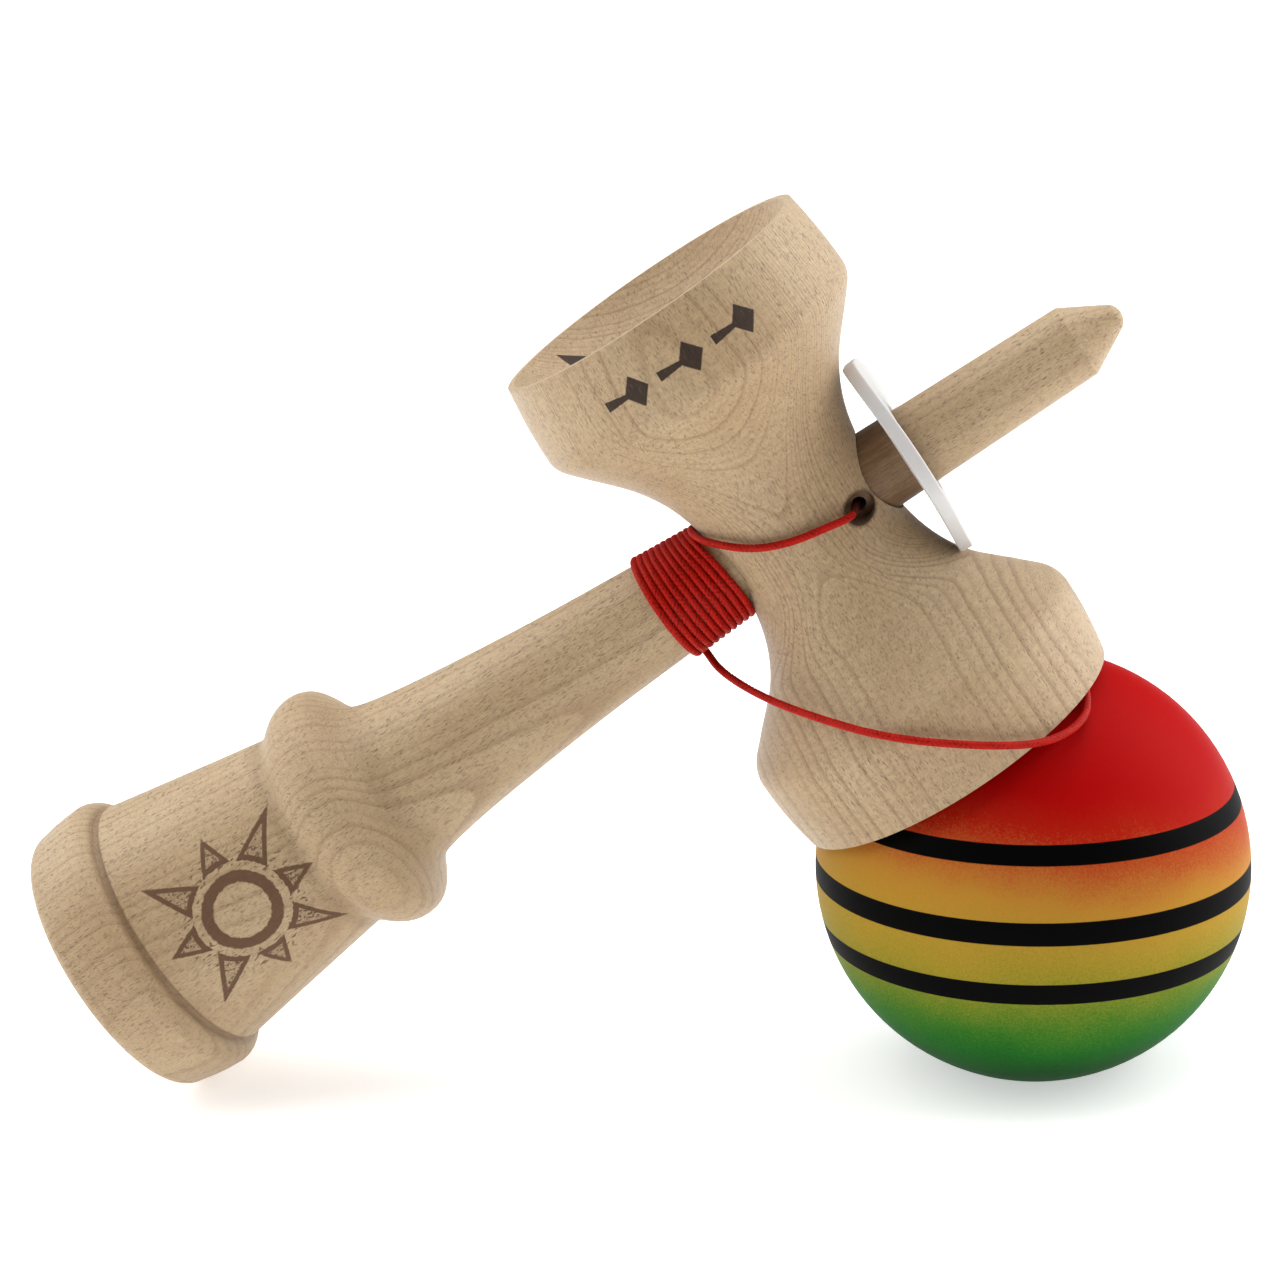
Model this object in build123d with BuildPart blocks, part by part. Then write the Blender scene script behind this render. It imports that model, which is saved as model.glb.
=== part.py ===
import math
import os

from build123d import *

# Sizes are in millimetres. The row frame has X to the right, Y away from the viewer and Z up.
# The toy stands on the floor: the ball on the mouth of its spike hole, the ken on its base rim.
lean = 31.9               # ken axis above the floor, degrees
crossX = 23.9             # where the ken axis crosses the sarado axis
crossY = -0.5

ballR = 30.0
ballAlongKen = -0.75      # ball centre from the crossing, along the ken
ballBelow = 58.8          # and along the sarado axis, on the big cup's side
ballToFront = -0.5
boreR = 10.75             # spike hole
boreChamfer = 0.6
boreTop = 10.0            # its flat roof, above the ball's centre
pocketR = 4.8             # room for the bead above the roof
pocketTop = 19.8
stringHoleR = 1.7
stringHoleTop = 28.0      # where its countersunk mouth starts
stringMouthR = 3.3

beadR = 4.1
beadHigh = 4.4
beadTop = 19.4            # under the pocket's roof
beadRound = 0.9
tamaKnotR = 1.5
tamaKnotHigh = 2.6
knotRound = 0.5

cordR = 0.55
cordOverBall = 1.4        # the cord's corner above the ball's string hole
kenHoleR = 1.0            # string hole in the ken, in front of the knot's pocket
knotPocketR = 2.2
knotShoulder = 1.5        # the pocket's end, in front of the ken's axis
kenKnotR = 1.9
kenKnotLong = 3.0
stringHoleAlong = 8.1     # hole through sarado and ken, from the crossing
stringHoleSide = -1.27
sideHoleR = 2.1           # its wide part, in the sarado

seatR = 6.1               # the ken's round seat in the sarado
seatBack = 12.7           # the seat ends outside the sarado towards the handle
seatFront = 9.9           # and inside it towards the spike
washerR = 14.9
washerHoleR = 6.7
washerThick = 1.8
washerAlong = 16.75
washerTilt = 6.5          # how far its front edge leans to the spike's tip, degrees
washerTopTilt = 1.5       # and its top edge
washerRound = 0.5

through = 20.0            # longer than any drilled hole

tilt = math.radians(lean)
boreMouthZ = math.sqrt(ballR**2 - (boreR + boreChamfer) ** 2)
stringMouthZ = math.sqrt(ballR**2 - stringMouthR**2)
crossZ = boreMouthZ + ballBelow * math.cos(tilt) - ballAlongKen * math.sin(tilt)
crossing = Vector(crossX, crossY, crossZ)
kenDir = Vector(math.cos(tilt), 0, math.sin(tilt))
cupDir = Vector(-math.sin(tilt), 0, math.cos(tilt))
frontDir = Vector(0, -1, 0)
upDir = Vector(0, 0, 1)


def bowlMiddle(bottom, rimR, rim):
    # the point half way up a spherical bowl's section, from its bottom on the axis to its rim
    depth = abs(rim - bottom)
    sphereR = (rimR**2 + depth**2) / (2 * depth)
    half = math.asin(rimR / sphereR) / 2
    rise = sphereR * (1 - math.cos(half))
    return (sphereR * math.sin(half), bottom + math.copysign(rise, rim - bottom))


def at(along, side, front):
    # a point from the crossing: along the ken, towards the small cup, towards the viewer
    return crossing + kenDir * along + cupDir * side + frontDir * front


ballAt = at(ballAlongKen, -ballBelow, ballToFront)

# Planes: local x is the radius, local y runs along each turned piece's axis.
kenPlane = Plane(origin=crossing, x_dir=cupDir, z_dir=cupDir.cross(kenDir))
cupPlane = Plane(origin=crossing, x_dir=kenDir, z_dir=kenDir.cross(cupDir))
ballPlane = Plane(origin=ballAt, x_dir=(1, 0, 0), z_dir=(0, -1, 0))
kenAxis = Axis(crossing, kenDir)
cupAxis = Axis(crossing, cupDir)
ballAxis = Axis(ballAt, upDir)
drillPlane = Plane(origin=at(stringHoleAlong, stringHoleSide, 0), x_dir=kenDir, z_dir=frontDir)

# Ken: base cup, rounded ring, groove, tapered barrel, collar, handle, seat, spike
with BuildPart() as ken:
    with BuildSketch(kenPlane):
        with BuildLine():
            ThreePointArc((0, -107.2), bowlMiddle(-107.2, 17.9, -115.9), (17.9, -115.9))
            Line((17.9, -115.9), (18.6, -115.9))
            ThreePointArc((18.6, -115.9), (19.85, -115.3), (20.45, -113.8))
            Spline((20.45, -113.8), (20.95, -111.0), (21.15, -108.2))
            ThreePointArc((21.15, -108.2), (20.6, -106.3), (18.85, -105.3))
            ThreePointArc((18.85, -105.3), (18.62, -104.9), (18.9, -104.3))
            Spline((18.9, -104.3), (16.75, -91.5), (14.95, -80.4))
            Spline(
                (14.95, -80.4), (16.1, -78.0), (17.45, -75.8), (17.85, -73.4), (17.2, -71.2),
                (15.0, -69.4), (12.7, -67.9), (11.6, -65.6),
                tangents=[(-0.16, 1), (-0.22, 1)],
            )
            Spline(
                (11.6, -65.6), (9.6, -52.0), (7.9, -34.0), (6.95, -20.0), (6.4, -seatBack),
                tangents=[(-0.22, 1), (-0.06, 1)],
            )
            Line((6.4, -seatBack), (seatR, -seatBack))
            Line((seatR, -seatBack), (seatR, seatFront))
            Line((seatR, seatFront), (5.78, seatFront))
            Line((5.78, seatFront), (5.2, 43.6))
            Line((5.2, 43.6), (1.75, 49.7))
            ThreePointArc((1.75, 49.7), bowlMiddle(50.5, 1.75, 49.7), (0, 50.5))
            Line((0, 50.5), (0, -107.2))
        make_face()
    revolve(axis=kenAxis)
    with BuildSketch(drillPlane):
        Circle(kenHoleR)
    extrude(amount=through, mode=Mode.SUBTRACT)
    with BuildSketch(drillPlane.offset(knotShoulder)):
        Circle(knotPocketR)
    extrude(amount=-through, mode=Mode.SUBTRACT)
ken.part.label = "ken"

# Sarado: small cup up, big cup down, waist between them
with BuildPart() as sarado:
    with BuildSketch(cupPlane):
        with BuildLine():
            ThreePointArc((0, 24.8), bowlMiddle(24.8, 21.7, 37.1), (21.7, 37.1))
            Line((21.7, 37.1), (22.66, 37.1))
            Spline((22.66, 37.1), (23.45, 31.0), (23.72, 26.4))
            ThreePointArc((23.72, 26.4), (23.55, 25.0), (22.75, 23.6))
            Spline(
                (22.75, 23.6), (20.3, 20.7), (17.4, 17.3), (14.1, 11.8), (12.55, 6.5), (12.05, 0),
                (12.4, -6.8), (13.9, -12.3), (17.1, -17.7), (20.9, -21.6), (23.6, -24.4),
                tangents=[(-0.8, -1), (1, -1)],
            )
            ThreePointArc((23.6, -24.4), (24.75, -26.1), (25.0, -27.9))
            Spline((25.0, -27.9), (24.75, -33.0), (24.0, -37.9))
            Line((24.0, -37.9), (22.9, -37.9))
            ThreePointArc((22.9, -37.9), bowlMiddle(-22.9, 22.9, -37.9), (0, -22.9))
            Line((0, -22.9), (0, 24.8))
        make_face()
    revolve(axis=cupAxis)
    with BuildSketch(Plane(origin=crossing, x_dir=cupDir, z_dir=kenDir)):
        Circle(seatR)
    extrude(amount=through, both=True, mode=Mode.SUBTRACT)
    with BuildSketch(drillPlane):
        Circle(sideHoleR)
    extrude(amount=through, mode=Mode.SUBTRACT)
sarado.part.label = "sarado"

# Tama: spike hole open at the bottom, bead pocket, string hole at the top
with BuildPart() as tama:
    with BuildSketch(ballPlane):
        with BuildLine():
            Line((boreR + boreChamfer, -boreMouthZ), (boreR, -boreMouthZ + boreChamfer))
            Line((boreR, -boreMouthZ + boreChamfer), (boreR, boreTop))
            Line((boreR, boreTop), (pocketR, boreTop))
            Line((pocketR, boreTop), (pocketR, pocketTop))
            Line((pocketR, pocketTop), (stringHoleR, pocketTop))
            Line((stringHoleR, pocketTop), (stringHoleR, stringHoleTop))
            Line((stringHoleR, stringHoleTop), (stringMouthR, stringMouthZ))
            ThreePointArc((stringMouthR, stringMouthZ), (ballR, 0), (boreR + boreChamfer, -boreMouthZ))
        make_face()
    revolve(axis=ballAxis)
tama.part.label = "tama"

# Bead under the string hole and the stopper knot under it
beadFoot = ballAt + upDir * (beadTop - beadHigh)
with BuildPart() as bead:
    with BuildSketch(Plane(origin=beadFoot, z_dir=upDir)):
        Circle(beadR)
    extrude(amount=beadHigh)
    fillet(bead.edges(), radius=beadRound)
bead.part.label = "tama_bead"

with BuildPart() as knot:
    with BuildSketch(Plane(origin=beadFoot - upDir * tamaKnotHigh, z_dir=upDir)):
        Circle(tamaKnotR)
    extrude(amount=tamaKnotHigh)
    fillet(knot.edges(), radius=knotRound)
knot.part.label = "tama_knot"

# Knot that holds the string inside the ken
with BuildPart() as kenKnot:
    with BuildSketch(drillPlane.offset(knotShoulder)):
        Circle(kenKnotR)
    extrude(amount=-kenKnotLong)
    fillet(kenKnot.edges(), radius=knotRound)
kenKnot.part.label = "ken_knot"

# Loose washer on the spike
frontLean = math.tan(math.radians(washerTilt))
topLean = math.tan(math.radians(washerTopTilt))
tiltedAlong = (kenDir - frontDir * frontLean - cupDir * topLean).normalized()
washerPlane = Plane(origin=at(washerAlong, 0, 0), x_dir=cupDir, z_dir=tiltedAlong)
with BuildPart() as washer:
    with BuildSketch(washerPlane):
        Circle(washerR)
        Circle(washerHoleR, mode=Mode.SUBTRACT)
    extrude(amount=washerThick / 2, both=True)
    fillet(washer.edges(), radius=washerRound)
washer.part.label = "spike_washer"


def filletRadii(points):
    # one radius per turn: 0.45 of the shorter run over the tangent of half the turn
    radii = []
    for before, here, after in zip(points, points[1:], points[2:]):
        first = here - before
        second = after - here
        half = math.radians(first.get_angle(second)) / 2
        radii.append(0.45 * min(first.length, second.length) / math.tan(half))
    return radii


def report(name, points, radii, length):
    runs = [(b - a).length for a, b in zip(points, points[1:])]
    print(name, "runs", [round(r, 1) for r in runs])
    print(name, "radii in diameters", [round(r / (2 * cordR), 1) for r in radii])
    print(name, "length mm", round(length, 1))


# String from the ken's knot out of the sarado and round to the winding
leadPoints = [
    at(stringHoleAlong, stringHoleSide, knotShoulder),
    at(stringHoleAlong, stringHoleSide, 10.6),
    at(3.5, -0.75, 12.75),
    at(-1.9, 0.3, 13.2),
    at(-6.7, 2.4, 11.6),
    at(-11.3, 5.9, 8.3),
    at(-13.1, 7.05, 3.5),
]
leadRadii = filletRadii(leadPoints)
with BuildPart() as lead:
    with BuildLine() as leadPath:
        FilletPolyline(*leadPoints, radius=leadRadii)
    with BuildSketch(Plane(origin=leadPoints[0], z_dir=frontDir)):
        Circle(cordR)
    sweep()
lead.part.label = "string_lead"
report("lead", leadPoints, leadRadii, leadPath.wire().length)

# String from the winding across the big cup, round its rim and into the ball
tailPoints = [
    at(-21.3, -8.43, -0.6),
    at(-20.3, -10.6, 5.2),
    at(-16.6, -15.8, 11.4),
    at(-10.9, -20.4, 19.4),
    at(-3.6, -26.0, 26.6),
    at(5.6, -33.2, 26.5),
    at(12.4, -39.1, 22.0),
    at(17.75, -40.3, 16.75),
    at(19.8, -38.72, 11.2),
    at(20.1, -35.9, 5.7),
    ballAt + upDir * (ballR + cordOverBall),
    ballAt + upDir * beadTop,
]
tailRadii = filletRadii(tailPoints)
with BuildPart() as tail:
    with BuildLine() as tailPath:
        FilletPolyline(*tailPoints, radius=tailRadii)
    with BuildSketch(Plane(origin=tailPoints[-1], z_dir=upDir)):
        Circle(cordR)
    sweep(path=tailPath.wire())
tail.part.label = "string_tail"
report("tail", tailPoints, tailRadii, tailPath.wire().length)

# Winding: the turns round the handle as one solid
with BuildPart() as winding:
    with BuildSketch(kenPlane):
        with BuildLine():
            Polyline((6.2, -22.4), (8.0, -22.4), (7.85, -21.6), (7.75, -13.4), (6.2, -13.4), close=True)
        make_face()
    revolve(axis=kenAxis)
    add(ken.part, mode=Mode.SUBTRACT)
winding.part.label = "string_winding"

parts = [ken, sarado, tama, bead, knot, kenKnot, washer, lead, tail, winding]
os.makedirs("parts", exist_ok=True)
for piece in parts:
    export_step(piece.part, "parts/" + piece.part.label + ".step")
    box = piece.part.bounding_box()
    low, high = box.min, box.max
    print(piece.part.label, len(piece.part.solids()), "volume", round(piece.part.volume, 1))
    print("   low", round(low.X, 2), round(low.Y, 2), round(low.Z, 2), "high", round(high.X, 2),
          round(high.Y, 2), round(high.Z, 2))
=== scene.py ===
# A wooden cup-and-ball toy with a wound string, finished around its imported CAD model.
import math

import bpy
from mathutils import Matrix, Vector


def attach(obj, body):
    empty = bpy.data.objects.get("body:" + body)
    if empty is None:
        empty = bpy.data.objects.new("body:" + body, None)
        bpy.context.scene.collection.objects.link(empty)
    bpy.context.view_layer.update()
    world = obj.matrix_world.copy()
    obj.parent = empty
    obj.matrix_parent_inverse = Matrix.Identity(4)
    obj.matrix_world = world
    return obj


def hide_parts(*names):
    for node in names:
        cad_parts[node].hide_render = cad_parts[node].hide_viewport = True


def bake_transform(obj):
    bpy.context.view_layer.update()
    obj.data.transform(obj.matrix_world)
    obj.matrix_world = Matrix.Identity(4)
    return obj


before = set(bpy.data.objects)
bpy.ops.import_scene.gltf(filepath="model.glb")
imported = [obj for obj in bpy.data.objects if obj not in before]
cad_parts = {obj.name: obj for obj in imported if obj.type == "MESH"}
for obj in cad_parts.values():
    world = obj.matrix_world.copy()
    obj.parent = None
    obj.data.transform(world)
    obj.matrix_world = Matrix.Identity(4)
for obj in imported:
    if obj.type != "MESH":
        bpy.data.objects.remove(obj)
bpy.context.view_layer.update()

print("start: frame loaded")

# Directions and places, as in the part's own source. at() takes millimetres from the crossing.
lean = math.radians(31.9)
crossing = Vector((0.0239, -0.0005, 0.078086))
kenDir = Vector((math.cos(lean), 0, math.sin(lean)))
cupDir = Vector((-math.sin(lean), 0, math.cos(lean)))
frontDir = Vector((0, -1, 0))
upDir = Vector((0, 0, 1))
mm = 0.001


def at(along, side, front):
    return crossing + (kenDir * along + cupDir * side + frontDir * front) * mm


ballAt = at(-0.75, -58.8, -0.5)
stringHole = {"along": 8.1, "side": -1.27, "radius": 2.1}     # in the sarado's front


def clearSelection():
    bpy.ops.object.select_all(action="DESELECT")


def pick(piece):
    clearSelection()
    piece.select_set(True)
    bpy.context.view_layer.objects.active = piece


def applyAll(piece):
    pick(piece)
    for modifier in list(piece.modifiers):
        bpy.ops.object.modifier_apply(modifier=modifier.name)


def settle(piece):
    # the finished piece sits at the origin with its place in its mesh
    pick(piece)
    bpy.ops.object.transform_apply(location=True, rotation=True, scale=True)


clearSelection()


# Shader kit: Value is a number in a shader, Finish is one material

class Value:
    def __init__(self, finish, socket):
        self.finish = finish
        self.socket = socket

    def __add__(self, other):
        return self.finish.maths("ADD", self, other)

    def __sub__(self, other):
        return self.finish.maths("SUBTRACT", self, other)

    def __rsub__(self, other):
        return self.finish.maths("SUBTRACT", other, self)

    def __mul__(self, other):
        return self.finish.maths("MULTIPLY", self, other)

    def __truediv__(self, other):
        return self.finish.maths("DIVIDE", self, other)

    def __rtruediv__(self, other):
        return self.finish.maths("DIVIDE", other, self)

    def __pow__(self, other):
        return self.finish.maths("POWER", self, other)

    def __mod__(self, other):
        return self.finish.maths("FLOORED_MODULO", self, other)

    def __abs__(self):
        return self.finish.maths("ABSOLUTE", self)

    def __lt__(self, other):
        return self.finish.maths("LESS_THAN", self, other)

    def __gt__(self, other):
        return self.finish.maths("GREATER_THAN", self, other)

    __radd__ = __add__
    __rmul__ = __mul__


class Finish:
    def __init__(self, name, **constants):
        self.material = bpy.data.materials.new(name)
        self.material.use_nodes = True
        self.tree = self.material.node_tree
        self.tree.nodes.clear()
        self.shader = self.tree.nodes.new("ShaderNodeBsdfPrincipled")
        output = self.tree.nodes.new("ShaderNodeOutputMaterial")
        self.tree.links.new(self.shader.outputs[0], output.inputs[0])
        for socket, number in constants.items():
            self.shader.inputs[socket.replace("_", " ")].default_value = number

    def put(self, socket, value):
        if isinstance(value, Value):
            self.tree.links.new(value.socket, socket)
        else:
            socket.default_value = value

    def node(self, kind, settings=None, values=None, out=0):
        made = self.tree.nodes.new("ShaderNode" + kind)
        for name, setting in (settings or {}).items():
            if name == "stops":
                ramp = made.color_ramp.elements
                while len(ramp) < len(setting):
                    ramp.new(0.5)
                for stop, (place, colour) in zip(ramp, setting):
                    stop.position = place
                    stop.color = (*colour, 1)
            else:
                setattr(made, name, setting)
        for socket, value in (values or {}).items():
            self.put(made.inputs[socket], value)
        return Value(self, made.outputs[out])

    def maths(self, operation, *terms):
        return self.node("Math", {"operation": operation}, dict(enumerate(terms)))

    def noise(self, vector, scale=1.0, detail=2.0, roughness=0.5):
        values = {"Vector": vector, "Scale": scale, "Detail": detail, "Roughness": roughness}
        return self.node("TexNoise", None, values)

    def fade(self, value, low, high):
        # 0 below low, 1 above high, smooth between
        settings = {"interpolation_type": "SMOOTHSTEP"}
        return self.node("MapRange", settings, {0: value, 1: low, 2: high})

    def peak(self, value, middle, core, edge):
        # 1 within core of the middle, 0 beyond edge
        return 1 - self.fade(abs(value - middle), core, edge)

    def grey(self, tone):
        return self.vector(tone, tone, tone)

    def vector(self, x, y, z):
        return self.node("CombineXYZ", None, {0: x, 1: y, 2: z})

    def split(self, vector):
        whole = self.node("SeparateXYZ", None, {0: vector})
        return [Value(self, socket) for socket in whole.socket.node.outputs]

    def local(self, origin, turn):
        # millimetres from origin along axes turned with the toy
        seen = self.node("TexCoord", out="Object")
        values = {"Vector": seen, "Location": origin, "Rotation": turn, "Scale": (mm, mm, mm)}
        return self.node("Mapping", {"vector_type": "TEXTURE"}, values)

    def mix(self, amount, first, second, blend="MIX"):
        values = {0: amount}
        for socket, colour in ((6, first), (7, second)):
            values[socket] = colour if isinstance(colour, Value) else (*colour, 1)
        return self.node("Mix", {"data_type": "RGBA", "blend_type": blend}, values, out=2)

    def bump(self, height, depth, strength=1.0):
        # depth is in millimetres
        values = {"Height": height, "Distance": depth * mm, "Strength": strength}
        self.put(self.shader.inputs["Normal"], self.node("Bump", None, values))

    def colourWith(self, colour):
        self.put(self.shader.inputs["Base Color"], colour)

    def roughenWith(self, roughness):
        self.put(self.shader.inputs["Roughness"], roughness)

    def wear(self, piece):
        piece.data.materials.clear()
        piece.data.materials.append(self.material)


def useFinish(node, finish):
    # a CAD node keeps its mesh and takes a new material
    for place in bpy.data.objects[node].material_slots:
        place.material = finish.material


# Beech: growth rings as sheets facing the viewer, flecks along the grain, burned marks

beech = {
    "pale": (0.47, 0.340, 0.195),
    "blush": (0.42, 0.283, 0.150),
    "blushShow": 0.8,
    "ringColour": (0.25, 0.14, 0.06),
    "fleckColour": (0.10, 0.048, 0.018),
    "fleckShow": 0.85,
    # painted shade colour, also used for stained wood round the string hole
    "shadeAndWear": (0.15, 0.072, 0.026),
    "scorchShow": 0.97,
    "fineFleck": {"width": 0.46, "deep": 2.2, "length": 3.4, "reach": 0.34, "keep": 0.30},
    "longFleck": {"width": 0.78, "deep": 5.0, "length": 8.0, "reach": 0.28, "keep": 0.35},
    "fineShow": 0.7,
    "relief": 0.05,
}

kenLook = {
    "bow": 60,            # mm in front of the axis to the rings' own middle
    "ringSkew": 0.7,      # how far the rings turn to the side
    "innerStep": 2.0,     # mm from ring to ring behind the depth where they widen
    "widenFrom": 30,
    "widen": 600,
    "wander": 2.4,
    "ringShow": 0.42,
    "downTheFlare": False,
    "crossShow": 0.26,
    "burned": (0.115, 0.052, 0.022),
}
saradoLook = {
    "bow": 33,
    "ringSkew": 0.06,
    "innerStep": 0.6,
    "widenFrom": 10,
    "widen": 300,
    "wander": 0.9,
    "ringShow": 0.62,
    "downTheFlare": True,     # below the waist the rings run down the big cup
    "crossShow": 0.44,
    "burned": (0.020, 0.006, 0.002),
}
flare = {"middle": 2.0, "pitch": 1.7, "offset": 20.6, "full": -17, "none": -5}

emblem = {
    "along": -90.8,
    "ringIn": 3.9,
    "ringOut": 5.5,
    "rayFrom": 6.7,
    "rayTo": 14.6,
    "shortRayTo": 11.6,
    "rayWidth": 2.3,
    "rays": 8,
    "ragged": 0.7,
    "outline": (0.62, 0.82),     # mm from a ray's edge to its open middle
    "sprayFrom": 6.0,
    "sprayTo": (8.4, 10.4),
}
pins = {
    "side": 30.25,
    "turn": 3.0,
    "pitch": 20.35,
    "radius": 23.5,
    "howMany": 3,
    "headAt": 1.5,
    "headHalf": (1.9, 2.3),
    "stem": (-3.4, 1.0),
    "outside": 22.0,
}
wedge = {"turn": 125.5, "top": 35.6, "bottom": 31, "spread": 0.62, "slant": 0.35, "inside": 21.6}


def beechFinish(wood, look, along, across, depth, burn, shade):
    wander = wood.noise(wood.vector(across * 0.045, depth * 0.045, along * 0.018), 1, 1.5) - 0.5
    ripple = wood.noise(wood.vector(across * 0.4, depth * 0.4, along * 0.16), 1, 1) - 0.5
    front = 0 - depth - across * look["ringSkew"]
    sheet = look["bow"] - ((look["bow"] - front) ** 2 + across * across) ** 0.5
    sheet = sheet + wander * look["wander"] + ripple * 0.3
    outer = wood.maths("MAXIMUM", sheet, look["widenFrom"])
    inner = wood.maths("MINIMUM", sheet - look["widenFrom"], 0.0)
    place = inner / look["innerStep"] - look["widen"] / outer
    if look["downTheFlare"]:
        fromMiddle = abs(across - flare["middle"] + wander * 1.5 + ripple * 0.4)
        legs = 0 - fromMiddle / flare["pitch"] - flare["offset"]
        place = place + (legs - place) * (1 - wood.fade(along, flare["full"], flare["none"]))
    ring = place % 1
    year = wood.maths("FLOOR", place)
    chance = wood.node("TexWhiteNoise", {"noise_dimensions": "1D"}, {"W": year})
    late = wood.fade(ring, 0.45, 0.92) * (1 - wood.fade(ring, 0.92, 1.0)) * (chance * 0.85 + 0.15)
    fibre = wood.noise(wood.vector(across * 4, depth * 4, along * 0.5), 1, 3, 0.65)
    cross = wood.noise(wood.vector(across * 0.7, depth * 0.7, along * 2.6), 1, 2, 0.6)
    grit = wood.noise(wood.vector(across * 5, depth * 5, along * 4), 1, 2, 0.7)
    cloud = wood.noise(wood.vector(across * 0.06, depth * 0.06, along * 0.04), 1, 2)

    def flecks(size):
        cells = wood.vector(
            across / size["width"] + ripple * 0.5, depth / size["deep"], along / size["length"]
        )
        near = wood.node("TexVoronoi", None, {"Vector": cells}, out="Distance")
        colour = wood.node("TexVoronoi", None, {"Vector": cells}, out="Color")
        shape = 1 - wood.fade(near, size["reach"] * 0.6, size["reach"])
        return shape * (wood.split(colour)[0] > size["keep"])

    fineFleck = flecks(beech["fineFleck"]) * beech["fineShow"]
    fleck = wood.maths("MAXIMUM", fineFleck, flecks(beech["longFleck"]))

    blush = wood.fade(cloud, 0.3, 0.7) * beech["blushShow"]
    colour = wood.mix(blush, beech["pale"], beech["blush"])
    colour = wood.mix(late * look["ringShow"], colour, beech["ringColour"])
    level = 0.64 - look["crossShow"] / 2      # keeps the mean tone at one
    tone = fibre * 0.42 + cross * look["crossShow"] + grit * 0.30 + level
    colour = wood.mix(1.0, colour, wood.grey(tone), "MULTIPLY")
    colour = wood.mix(fleck * beech["fleckShow"], colour, beech["fleckColour"])
    # painted shade, with some stain: darkens the wood where the shade mask says
    colour = wood.mix(shade, colour, beech["shadeAndWear"])
    scorch = wood.maths("MINIMUM", burn * (fibre * 0.5 + grit * 0.3 + 0.62), 1.0)
    colour = wood.mix(scorch * beech["scorchShow"], colour, look["burned"])
    wood.colourWith(colour)
    wood.roughenWith(fibre * 0.16 + burn * 0.25 + 0.46)
    height = fibre * 0.5 + cross * 0.5 - fleck * 0.9 - late * 0.25 - burn * 1.2
    wood.bump(height, beech["relief"], 0.8)
    return wood


def newBeech(name):
    return Finish(name, Specular_IOR_Level=0.45, Sheen_Weight=0.22, Sheen_Roughness=0.4)


def turnedPlace(wood):
    # along the ken, away from the viewer, towards the small cup
    return wood.split(wood.local(crossing, (0, -lean, 0)))


def fromStringHole(wood, along, side):
    return ((along - stringHole["along"]) ** 2 + (side - stringHole["side"]) ** 2) ** 0.5


def sunMark(wood, along, side, front, radius):
    # a ring with eight rays, unrolled onto the barrel
    arc = wood.maths("ARCTAN2", side, front) * radius
    out = along - emblem["along"]
    rough = wood.noise(wood.vector(along * 1.6, arc * 1.6, 0.0), 1, 3, 0.7) - 0.5
    far = (out * out + arc * arc) ** 0.5 + rough * emblem["ragged"]
    perRay = 2 * math.pi / emblem["rays"]
    sector = wood.maths("ARCTAN2", arc, out) / perRay + 0.5
    swing = abs(sector % 1 - 0.5) * far * perRay
    longRay = (wood.maths("FLOOR", sector) % 2) > 0.5
    reach = longRay * (emblem["rayTo"] - emblem["shortRayTo"]) + emblem["shortRayTo"]
    half = (reach - far) / (reach - emblem["rayFrom"]) * emblem["rayWidth"]
    edge = half - swing - abs(rough) * 0.6
    core = wood.fade(edge, *emblem["outline"]) * (1 - wood.fade(abs(rough), 0.05, 0.12))
    core = core * (far > emblem["rayFrom"] + 0.8)
    ray = wood.fade(edge, -0.10, 0.12) * (far > emblem["rayFrom"]) * (1 - core * 0.85)
    splinter = wood.noise(wood.vector(along * 1.1, arc * 2.2, 3.0), 1, 1)
    spray = wood.fade(splinter, 0.60, 0.64) * (far > emblem["sprayFrom"])
    spray = spray * (1 - wood.fade(far, *emblem["sprayTo"]))
    ringMiddle = (emblem["ringIn"] + emblem["ringOut"]) / 2
    ringHalf = (emblem["ringOut"] - emblem["ringIn"]) / 2
    hoop = wood.peak(far, ringMiddle, ringHalf - 0.1, ringHalf + 0.12)
    return wood.maths("MAXIMUM", wood.maths("MAXIMUM", ray, spray * 0.8), hoop) * (front > 0)


def kenFinish():
    wood = newBeech("ken_beech_finish")
    along, away, side = turnedPlace(wood)
    front = 0 - away
    radius = (side * side + away * away) ** 0.5
    burn = sunMark(wood, along, side, front, radius)
    # painted shade: darker lines in the groove and at the collar's two joints, the spike's root
    # in brown shade between sarado and washer (streaked like its fibres), and the ken seen down
    # the string hole
    groove = wood.peak(along, -104.9, 0.15, 0.9)
    foot = wood.peak(along, -80.4, 0.3, 2.2)
    neck = wood.peak(along, -66.5, 0.3, 3.0)
    root = wood.fade(along, 7.0, 9.0) * (1 - wood.fade(along, 14.0, 22.0))
    streak = wood.noise(wood.vector(along * 0.25, side * 3.5, away * 3.5), 1, 3, 0.6)
    hole = (1 - wood.fade(fromStringHole(wood, along, side), 2.0, 2.6)) * (front > 0)
    shade = groove * 0.5 + foot * 0.22 + neck * 0.14 + root * (streak * 0.9 + 0.42) + hole * 0.5
    shade = wood.maths("MINIMUM", shade, 0.95)
    return beechFinish(wood, kenLook, along, side, away, burn, shade)


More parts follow.
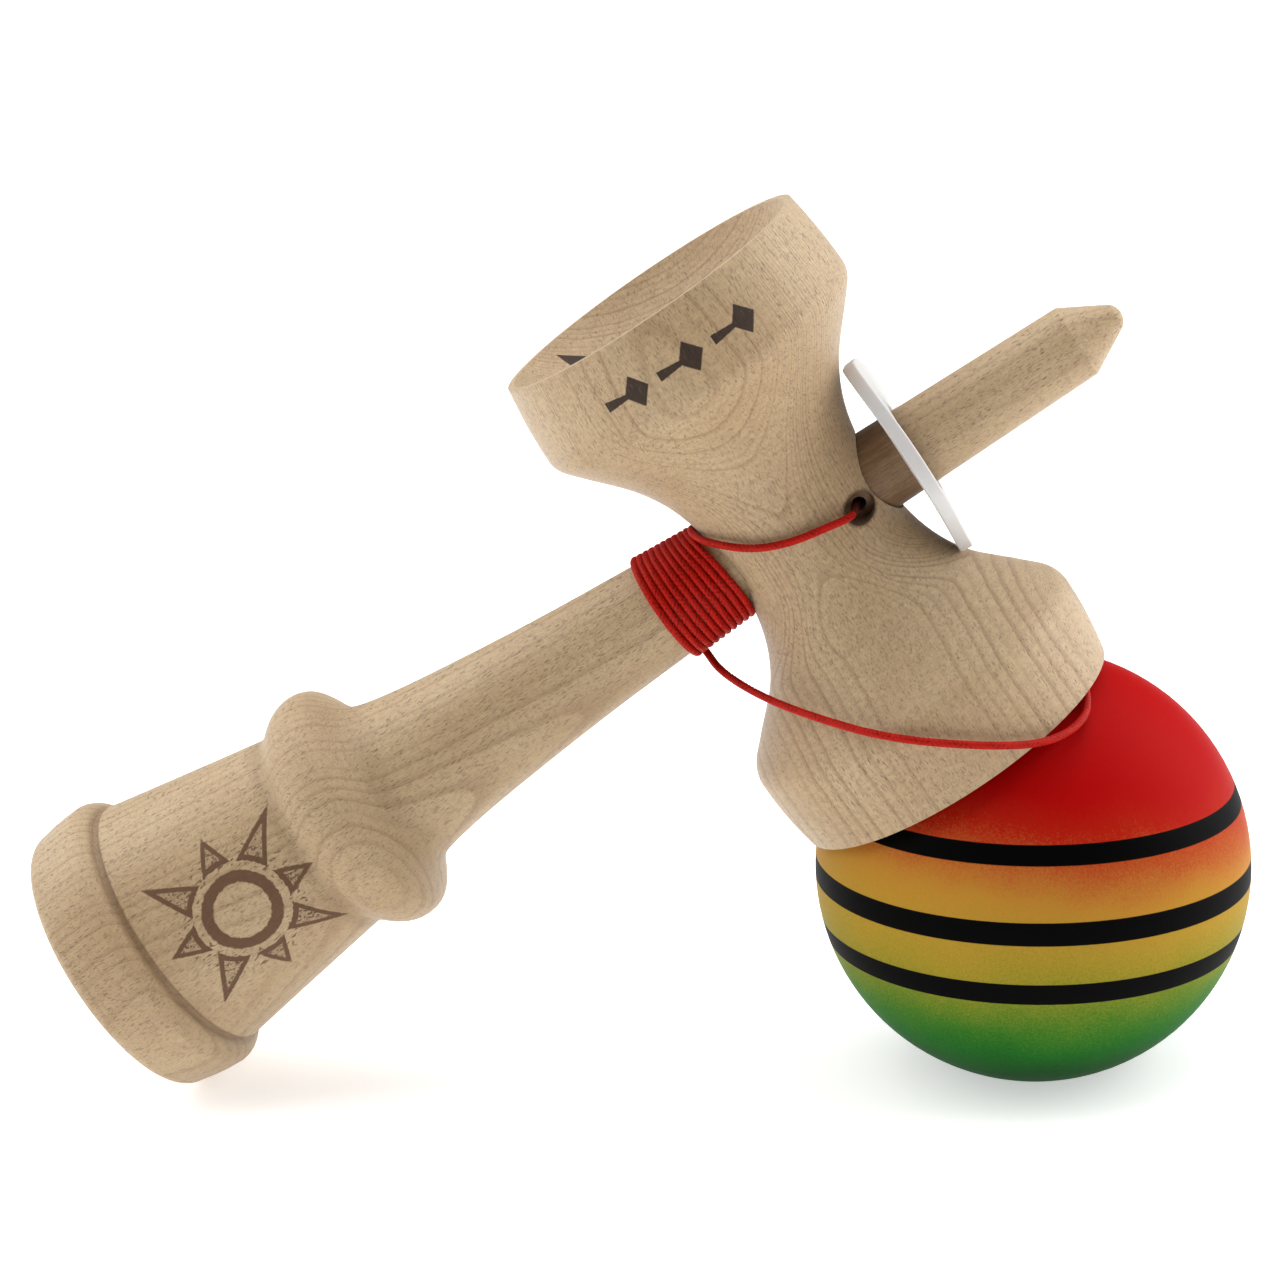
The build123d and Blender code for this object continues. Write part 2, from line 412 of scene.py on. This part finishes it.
def pinMarks(wood, side, turn, rough):
    # pins round the front of the small cup: a stem and a lozenge each
    first = math.radians(pins["turn"] - pins["pitch"] * pins["howMany"] / 2)
    step = math.radians(pins["pitch"])
    lap = ((turn - first) % step - step / 2) * pins["radius"]
    inRow = (turn > first) * (turn < first + step * pins["howMany"])
    rise = side - pins["side"] + rough * 0.25
    wide, high = pins["headHalf"]
    head = 1 - wood.fade(abs(lap - pins["headAt"]) / wide + abs(rise) / high, 0.92, 1.04)
    stemHalf = (1.6 - lap) * 0.10 + 0.18
    stemFrom, stemTo = pins["stem"]
    stem = (1 - wood.fade(abs(rise) - stemHalf, -0.06, 0.08)) * (lap > stemFrom) * (lap < stemTo)
    return wood.maths("MAXIMUM", head, stem) * inRow


def wedgeMark(wood, side, turn, front, radius):
    # one plain triangle inside the small cup
    below = wedge["top"] - side
    lap = (turn + math.radians(wedge["turn"])) * radius
    slope = below * wedge["spread"] - abs(lap + below * wedge["slant"])
    inside = (side > wedge["bottom"]) * (front < 0) * (radius < wedge["inside"])
    return wood.fade(slope, -0.05, 0.15) * inside


def saradoFinish():
    wood = newBeech("sarado_beech_finish")
    along, away, side = turnedPlace(wood)
    front = 0 - away
    turn = wood.maths("ARCTAN2", along, front)
    radius = (along * along + away * away) ** 0.5
    rough = wood.noise(wood.vector(along * 2.5, side * 2.5, away * 2.5), 1, 3, 0.7) - 0.5
    outside = (side > 25) * (side < 36) * (radius > pins["outside"])
    pinBurn = pinMarks(wood, side, turn, rough) * outside
    burn = wood.maths("MAXIMUM", pinBurn, wedgeMark(wood, side, turn, front, radius))
    # the string hole: painted shade on its walls, and a ragged dark stain round its mouth
    far = fromStringHole(wood, along, side) + rough * 1.1
    reach = stringHole["radius"]
    shade = (1 - wood.fade(far, reach + 0.05, reach + 0.45)) * (front > 0) * 0.85
    return beechFinish(wood, saradoLook, side, along, away, burn, shade)


useFinish("ken", kenFinish())
useFinish("sarado", saradoFinish())
print("wood: ken and sarado finished")


# Ball: sprayed fade from red over yellow to green, three black bands

ball = {
    "bands": ((10.8, 1.3), (0.6, 1.6), (-8.2, 1.55)),    # mm above the ball's middle, half width
    "bandColour": (0.0008, 0.0007, 0.0007),
    "bandTurn": math.radians(0.8),
    "fadeSlope": 0.105,       # the red edge drops towards the right, the green edge is level
    "speckle": 10.0,          # mm that the spray's grains stray
    "mist": 5,
    "holeRadius": 11.0,
    "holeTop": 20,
    "bareWood": ((0.42, 0.28, 0.16), (0.60, 0.44, 0.27)),
    "fade": (
        (0.10, (0.0030, 0.060, 0.006)),
        (0.20, (0.0110, 0.120, 0.011)),
        (0.26, (0.042, 0.155, 0.013)),
        (0.32, (0.125, 0.190, 0.016)),
        (0.41, (0.300, 0.228, 0.021)),
        (0.47, (0.380, 0.240, 0.026)),
        (0.57, (0.450, 0.215, 0.027)),
        (0.62, (0.440, 0.146, 0.024)),
        (0.66, (0.415, 0.080, 0.017)),
        (0.73, (0.400, 0.012, 0.004)),
        (0.80, (0.390, 0.0015, 0.0015)),
    ),
}


def ballFinish():
    paint = Finish("ball_paint_finish", Specular_IOR_Level=0.03)
    across, away, high = paint.split(paint.local(ballAt, (0, 0, 0)))
    spot = paint.vector(across, away, high)
    spray = paint.noise(spot, 3.2, 2, 0.8) - 0.5
    mist = paint.noise(spot, 0.09, 2) - 0.5
    grain = paint.noise(spot, 9.0, 1) - 0.5
    level = high + across * ball["fadeSlope"] * paint.fade(high, -8, 8)
    level = level + spray * ball["speckle"] + mist * ball["mist"]
    colour = paint.node("ValToRGB", {"stops": ball["fade"]}, {0: level / 60 + 0.5})
    lift = high * math.cos(ball["bandTurn"]) + across * math.sin(ball["bandTurn"]) + grain * 0.05
    band = 0.0
    for middle, half in ball["bands"]:
        line = paint.peak(lift, middle, half - 0.06, half + 0.06)
        band = paint.maths("MAXIMUM", band, line)
    tone = grain * 0.22 + spray * 0.30 + 1.0
    colour = paint.mix(1.0, colour, paint.grey(tone), "MULTIPLY")
    colour = paint.mix(band, colour, ball["bandColour"])
    # bare wood inside the spike hole
    radius = (across * across + away * away) ** 0.5
    inside = (radius < ball["holeRadius"]) * (high < ball["holeTop"])
    fibre = paint.noise(paint.vector(across * 4, away * 4, high * 0.5), 1, 3)
    colour = paint.mix(inside, colour, paint.mix(fibre, *ball["bareWood"]))
    paint.colourWith(colour)
    paint.roughenWith(spray * 0.10 + band * 0.04 + 0.52)
    paint.bump(spray * 0.5 + grain * 0.3 + band * 1.0, 0.04, 0.5)
    return paint


useFinish("tama", ballFinish())
print("ball: paint finished")


# String: one braided cord from the knot in the wood, round the handle, into the ball

cord = {
    "radius": 0.55,
    "turns": 10,          # whole turns from the first crossing of the top to the last
    "perTurn": 14,
    "firstTurn": -13.35,
    "pitch": 0.9,
    "bow": 2.3,           # mm that the first turns bulge towards the cups, at bowTurn
    "bowTurn": 105,
    "rings": 0.16,        # mm from ring to ring of the tube
    "sides": 14,
    "strands": 4,         # in each hand of the braid
    "strandPitch": 0.62,
    "relief": 0.13,
    "shadow": (0.055, 0.001, 0.001),
    "bright": (0.46, 0.008, 0.003),
    # painted glint colour for the braid's bright flecks
    "fuzzAndGlint": (0.70, 0.075, 0.03),
    # painted shade colour for the string inside the hole
    "holeShade": (0.035, 0.012, 0.006),
    "holeShadeFrom": 10.6,        # mm in front of the toy's middle where painted shade on the string in the hole begins
}


def handleRadius(along):
    # the ken's own radius under the winding
    return 6.4 + 0.055 * (-12.7 - along) + 0.0012 * (-12.7 - along) ** 2


leadRoute = [
    at(stringHole["along"], stringHole["side"], 1.5),
    at(7.4, -1.3, 7.4),
    at(6.9, -1.0, 11.9),
    at(3.7, -0.2, 12.85),
    at(-1.6, 0.85, 13.3),
    at(-6.6, 2.6, 11.7),
    at(-11.3, 5.9, 8.3),
    at(-13.1, 7.05, 3.5),
]
tailRoute = [
    at(-21.3, -8.43, -0.6),
    at(-20.3, -10.6, 5.2),
    at(-16.6, -15.2, 11.4),
    at(-10.9, -19.6, 19.4),
    at(-3.6, -25.1, 26.6),
    at(5.6, -32.5, 26.6),
    at(12.6, -38.3, 22.5),
    at(17.85, -40.1, 16.9),
    at(19.8, -38.72, 11.2),
    at(20.1, -35.9, 5.7),
    ballAt + upDir * 31.4 * mm,
    ballAt + upDir * 19.4 * mm,
]


def windingRoute():
    # turns go from the top to the back, under, and up the front
    places = []
    steps = cord["turns"] * cord["perTurn"]
    tight = math.cos(math.pi / cord["perTurn"])
    for step in range(steps + cord["perTurn"] // 2 - 1):
        lap = step / cord["perTurn"]
        turn = -2 * math.pi * lap
        share = max(0.0, 1 - lap / cord["turns"])
        bulge = max(0.0, math.cos(turn - math.radians(cord["bowTurn"])))
        along = cord["firstTurn"] - cord["pitch"] * min(lap, cord["turns"])
        along += cord["bow"] * share * bulge
        reach = (handleRadius(along) + cord["radius"]) / tight
        places.append(at(along, reach * math.cos(turn), reach * math.sin(turn)))
    return places


def smoothLine(name, places):
    # the points of one smooth NURBS line through its control points
    line = bpy.data.curves.new(name, "CURVE")
    line.dimensions = "3D"
    spline = line.splines.new("NURBS")
    spline.points.add(len(places) - 1)
    for point, place in zip(spline.points, places):
        point.co = (*place, 1)
    spline.order_u = 3
    spline.use_endpoint_u = True
    spline.resolution_u = 16
    guide = bpy.data.objects.new(name, line)
    bpy.context.collection.objects.link(guide)
    mesh = bpy.data.meshes.new_from_object(guide)
    points = [vertex.co.copy() for vertex in mesh.vertices]
    bpy.data.objects.remove(guide)
    bpy.data.meshes.remove(mesh)
    return points


def evenly(points, step):
    # the same line read at even distances
    placed = [points[0]]
    left = step
    for here, there in zip(points, points[1:]):
        run = (there - here).length
        while run > 0 and left <= run:
            placed.append(here.lerp(there, left / run))
            left += step
        left -= run
    placed.append(points[-1])
    return placed


def braidedTube(name, line, radius, sides):
    # a closed tube of rings; strands of two hands cross over and under each other
    vertices = []
    weave = []
    side = line[1] - line[0]
    towards = frontDir if abs(side.normalized().dot(frontDir)) < 0.9 else upDir
    side = side.cross(towards).normalized()
    travelled = 0.0
    for count, here in enumerate(line):
        before = line[max(count - 1, 0)]
        after = line[min(count + 1, len(line) - 1)]
        travelled += (here - before).length
        ahead = (after - before).normalized()
        side = (side - ahead * side.dot(ahead)).normalized()
        other = ahead.cross(side)
        for corner in range(sides):
            share = corner / sides
            oneWay = share * cord["strands"] + travelled / (cord["strandPitch"] * mm)
            otherWay = share * cord["strands"] - travelled / (cord["strandPitch"] * mm)
            over = (math.floor(oneWay) + math.floor(otherWay)) % 2 == 0
            cell = (oneWay if over else otherWay) % 1
            height = math.sqrt(max(0.0, 1 - (2 * cell - 1) ** 2)) - 1
            reach = (radius + cord["relief"] * height) * mm
            angle = 2 * math.pi * share
            vertices.append(here + (side * math.cos(angle) + other * math.sin(angle)) * reach)
            weave.append(height + 1)
    faces = []
    for ring in range(len(line) - 1):
        for corner in range(sides):
            beside = (corner + 1) % sides
            low = ring * sides
            faces.append((low + corner, low + beside, low + sides + beside, low + sides + corner))
    faces.append(tuple(reversed(range(sides))))
    faces.append(tuple(range((len(line) - 1) * sides, len(line) * sides)))
    mesh = bpy.data.meshes.new(name)
    mesh.from_pydata(vertices, [], faces)
    mesh.update()
    attribute = mesh.attributes.new("weave", "FLOAT", "POINT")
    attribute.data.foreach_set("value", weave)
    mesh.polygons.foreach_set("use_smooth", [True] * len(mesh.polygons))
    piece = bpy.data.objects.new(name, mesh)
    bpy.context.collection.objects.link(piece)
    return piece


def stringFinish():
    thread = Finish("string_finish", Specular_IOR_Level=0.12)
    weave = thread.node("Attribute", {"attribute_name": "weave"}, out="Fac")
    spot = thread.local((0, 0, 0), (0, 0, 0))
    fuzzAndGlint = thread.noise(spot, 6.0, 2, 0.6)
    patch = thread.noise(spot, 0.5, 1)
    colour = thread.mix(thread.fade(weave, 0.1, 1.0), cord["shadow"], cord["bright"])
    tone = fuzzAndGlint * 0.5 + patch * 0.2 + 0.65
    colour = thread.mix(1.0, colour, thread.grey(tone), "MULTIPLY")
    # painted glints: bright orange flecks where the braid catches the light
    colour = thread.mix(thread.fade(fuzzAndGlint, 0.60, 0.75) * 0.35, colour, cord["fuzzAndGlint"])
    # painted shade on the string where it runs down into the hole in the wood
    mouth = thread.local(at(stringHole["along"], stringHole["side"], 0), (0, -lean, 0))
    along, away, side = thread.split(mouth)
    inside = (along > -1.7) * (abs(side) < 2.2) * (away > -cord["holeShadeFrom"]) * (away < 0.5)
    colour = thread.mix(inside * 0.85, colour, cord["holeShade"])
    thread.colourWith(colour)
    thread.roughenWith(fuzzAndGlint * 0.25 + 0.42)
    thread.bump(fuzzAndGlint, 0.03, 0.6)
    return thread


stringLook = stringFinish()
stringRoute = leadRoute + windingRoute() + tailRoute
stringLine = smoothLine("string_guide", stringRoute)
evenLine = evenly(stringLine, cord["rings"] * mm)
string = braidedTube("string", evenLine, cord["radius"], cord["sides"])
stringLook.wear(string)
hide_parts("string_lead", "string_winding", "string_tail")
at(18, -37, 10)
at(18, -39.87, 6.56)
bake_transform(string)


# Stopper knots at the string's two ends: the cord tied once round itself

knots = {"radius": 0.5, "spread": 0.341, "rise": 0.544, "steps": 40, "sides": 10}


def tiedKnot(name, middle, axis, body, node):
    sideways = axis.orthogonal().normalized()
    other = axis.cross(sideways)
    places = []
    for step in range(knots["steps"]):
        turn = 2 * math.pi * step / knots["steps"]
        out = (math.sin(turn) + 2 * math.sin(2 * turn)) * knots["spread"]
        over = (math.cos(turn) - 2 * math.cos(2 * turn)) * knots["spread"]
        rise = -math.sin(3 * turn) * knots["rise"]
        places.append(middle + (sideways * out + other * over + axis * rise) * mm)
    line = evenly(smoothLine(name + "_guide", places), cord["rings"] * mm)
    knot = braidedTube(name, line, knots["radius"], knots["sides"])
    stringLook.wear(knot)
    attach(knot, body)
    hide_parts(node)
    return knot


ballKnotAt = ballAt + upDir * 13.7 * mm
woodKnotAt = at(stringHole["along"], stringHole["side"], 0.1)
ballKnot = tiedKnot("ball_knot", ballKnotAt, upDir, "string_end", "tama_knot")
woodKnot = tiedKnot("wood_knot", woodKnotAt, frontDir, "toy", "ken_knot")
2 * cord["radius"] * mm


bead = {"dark": (0.70, 0.62, 0.48), "pale": (0.82, 0.76, 0.63)}


def beadFinish():
    plastic = Finish("bead_finish", Specular_IOR_Level=0.5)
    grain = plastic.noise(plastic.local(ballAt, (0, 0, 0)), 2.0, 3)
    plastic.colourWith(plastic.mix(grain, bead["dark"], bead["pale"]))
    plastic.roughenWith(grain * 0.2 + 0.3)
    plastic.bump(grain, 0.03, 0.4)
    return plastic


useFinish("tama_bead", beadFinish())
print("knots and bead: finished")


# Washer: a soft white plate with five shallow lobes, leaning on the cups

washer = {
    "radius": 14.6,       # the mean of lobes and dips
    "hole": 6.7,
    "thick": 1.9,
    "rings": (0.3, 1.6, 2.6, 2.9, 0.65),      # widths of the plate's rings of faces, outwards
    "corners": 180,
    "edge": 0.32,
    "lobes": 5,
    "lobeDeep": 0.7,
    "lobeTurn": math.radians(10.6),       # middle of the front lobe, up from the front
    "along": 17.05,
    "frontLean": math.tan(math.radians(2.0)),
    "topLean": math.tan(math.radians(0.6)),
    "dark": (0.60, 0.60, 0.59),
    "pale": (0.68, 0.68, 0.675),
    "saddle": 0.6,        # front and back bend towards the spike's tip
}


def makeWasher():
    hole = washer["hole"]
    corners = washer["corners"]
    bpy.ops.mesh.primitive_circle_add(vertices=corners, radius=hole * mm, fill_type="NOTHING")
    plate = bpy.context.object
    plate.name = "washer_plate"
    bpy.ops.object.mode_set(mode="EDIT")
    bpy.ops.mesh.select_all(action="SELECT")
    now = hole
    for width in washer["rings"]:
        bpy.ops.mesh.extrude_region_move()
        grow = (now + width) / now
        bpy.ops.transform.resize(value=(grow, grow, 1), center_override=(0, 0, 0))
        now += width
    bpy.ops.object.mode_set(mode="OBJECT")
    for vertex in plate.data.vertices:
        turn = math.atan2(vertex.co.y, vertex.co.x)
        reach = vertex.co.xy.length / (washer["radius"] * mm)
        share = max(0.0, (reach - 0.5) / 0.5)
        lobe = math.cos(washer["lobes"] * (turn - washer["lobeTurn"]))
        swell = 1 + share * washer["lobeDeep"] / washer["radius"] * lobe
        vertex.co.x *= swell
        vertex.co.y *= swell
        vertex.co.z = washer["saddle"] * mm * share * math.cos(2 * turn)
    solid = plate.modifiers.new("thickness", "SOLIDIFY")
    solid.thickness = washer["thick"] * mm
    solid.offset = 0
    bevel = plate.modifiers.new("edges", "BEVEL")
    bevel.width = washer["edge"] * mm
    bevel.segments = 3
    bevel.limit_method = "ANGLE"
    bevel.angle_limit = math.radians(50)
    applyAll(plate)
    # x to the front, y to the small cup, z to the spike's tip, then leaned
    leaned = (kenDir - frontDir * washer["frontLean"] - cupDir * washer["topLean"]).normalized()
    toFront = (frontDir - leaned * leaned.dot(frontDir)).normalized()
    turned = Matrix((toFront, leaned.cross(toFront), leaned)).transposed().to_4x4()
    plate.matrix_world = Matrix.Translation(at(washer["along"], 0, 0)) @ turned
    settle(plate)
    bpy.ops.object.mode_set(mode="EDIT")
    bpy.ops.mesh.select_all(action="SELECT")
    bpy.ops.mesh.normals_make_consistent(inside=False)
    bpy.ops.object.mode_set(mode="OBJECT")
    bpy.ops.object.shade_smooth_by_angle(angle=math.radians(40))
    return plate


def washerFinish():
    soft = Finish(
        "washer_finish", Specular_IOR_Level=0.45, Subsurface_Weight=0.15, Subsurface_Scale=0.002
    )
    spot = soft.local(crossing, (0, -lean, 0))
    mottle = soft.noise(spot, 0.35, 3)
    pebble = soft.noise(spot, 3.0, 2)
    soft.colourWith(soft.mix(mottle, washer["dark"], washer["pale"]))
    soft.roughenWith(pebble * 0.15 + 0.42)
    soft.bump(pebble + mottle, 0.03, 0.5)
    return soft


washerPlate = makeWasher()
washerFinish().wear(washerPlate)
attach(washerPlate, "washer")
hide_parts("spike_washer")
print("washer: made")


# Floor, light and camera

studio = {
    "sky": 0.22,
    "floorSize": 40,
    "floorColour": (0.88, 0.88, 0.88),
    "glow": 0.9,
    "nearGlow": (0.56, 0.56, 0.56),
    "farGlow": (0.95, 0.95, 0.95),
    "glowChange": (300, 1300),     # mm from the toy
    "lamps": (
        # place, aimed at, size, watts
        ((-0.62, 0.10, 0.50), (0, 0, 0.06), 0.8, 4.9),
        ((0.65, 0.14, 0.38), (0, 0, 0.06), 0.7, 5.0),
        ((0.0, 0.16, 0.80), (0, 0, 0.06), 0.9, 5.8),
    ),
}

clearSelection()
bpy.ops.mesh.primitive_plane_add(size=studio["floorSize"], location=(0, 0, 0))
floor = bpy.context.object
floor.name = "floor"
ground = Finish("floor_finish", Roughness=0.9, Emission_Strength=studio["glow"])
ground.colourWith((*studio["floorColour"], 1))
# the far floor, which the lamps don't reach, glows more
x, y, z = ground.split(ground.local((0, 0, 0), (0, 0, 0)))
farOff = ground.fade((x * x + y * y) ** 0.5, *studio["glowChange"])
glow = ground.mix(farOff, studio["nearGlow"], studio["farGlow"])
ground.put(ground.shader.inputs["Emission Color"], glow)
ground.wear(floor)

for count, (place, aim, size, power) in enumerate(studio["lamps"]):
    lamp = bpy.data.lights.new("softbox_" + str(count), "AREA")
    lamp.size = size
    lamp.energy = power
    holder = bpy.data.objects.new(lamp.name, lamp)
    holder.location = place
    holder.rotation_euler = (Vector(aim) - Vector(place)).to_track_quat("-Z", "Y").to_euler()
    bpy.context.collection.objects.link(holder)

world = bpy.data.worlds.new("studio")
bpy.context.scene.world = world
world.use_nodes = True
world.node_tree.nodes["Background"].inputs[0].default_value = (1, 1, 1, 1)
world.node_tree.nodes["Background"].inputs[1].default_value = studio["sky"]
bpy.context.scene.view_settings.view_transform = "Standard"

view = {
    "place": (0.02109, -0.44772, 0.18478),
    "turn": (74.62, 2.294, 1.905),
    "lens": 95.6,
}
eye = bpy.data.cameras.new("camera")
eye.lens = view["lens"]
eye.sensor_width = 36
eye.clip_start = 0.01
viewer = bpy.data.objects.new("camera", eye)
viewer.location = view["place"]
viewer.rotation_euler = [math.radians(angle) for angle in view["turn"]]
bpy.context.collection.objects.link(viewer)
bpy.context.scene.camera = viewer

print("done")
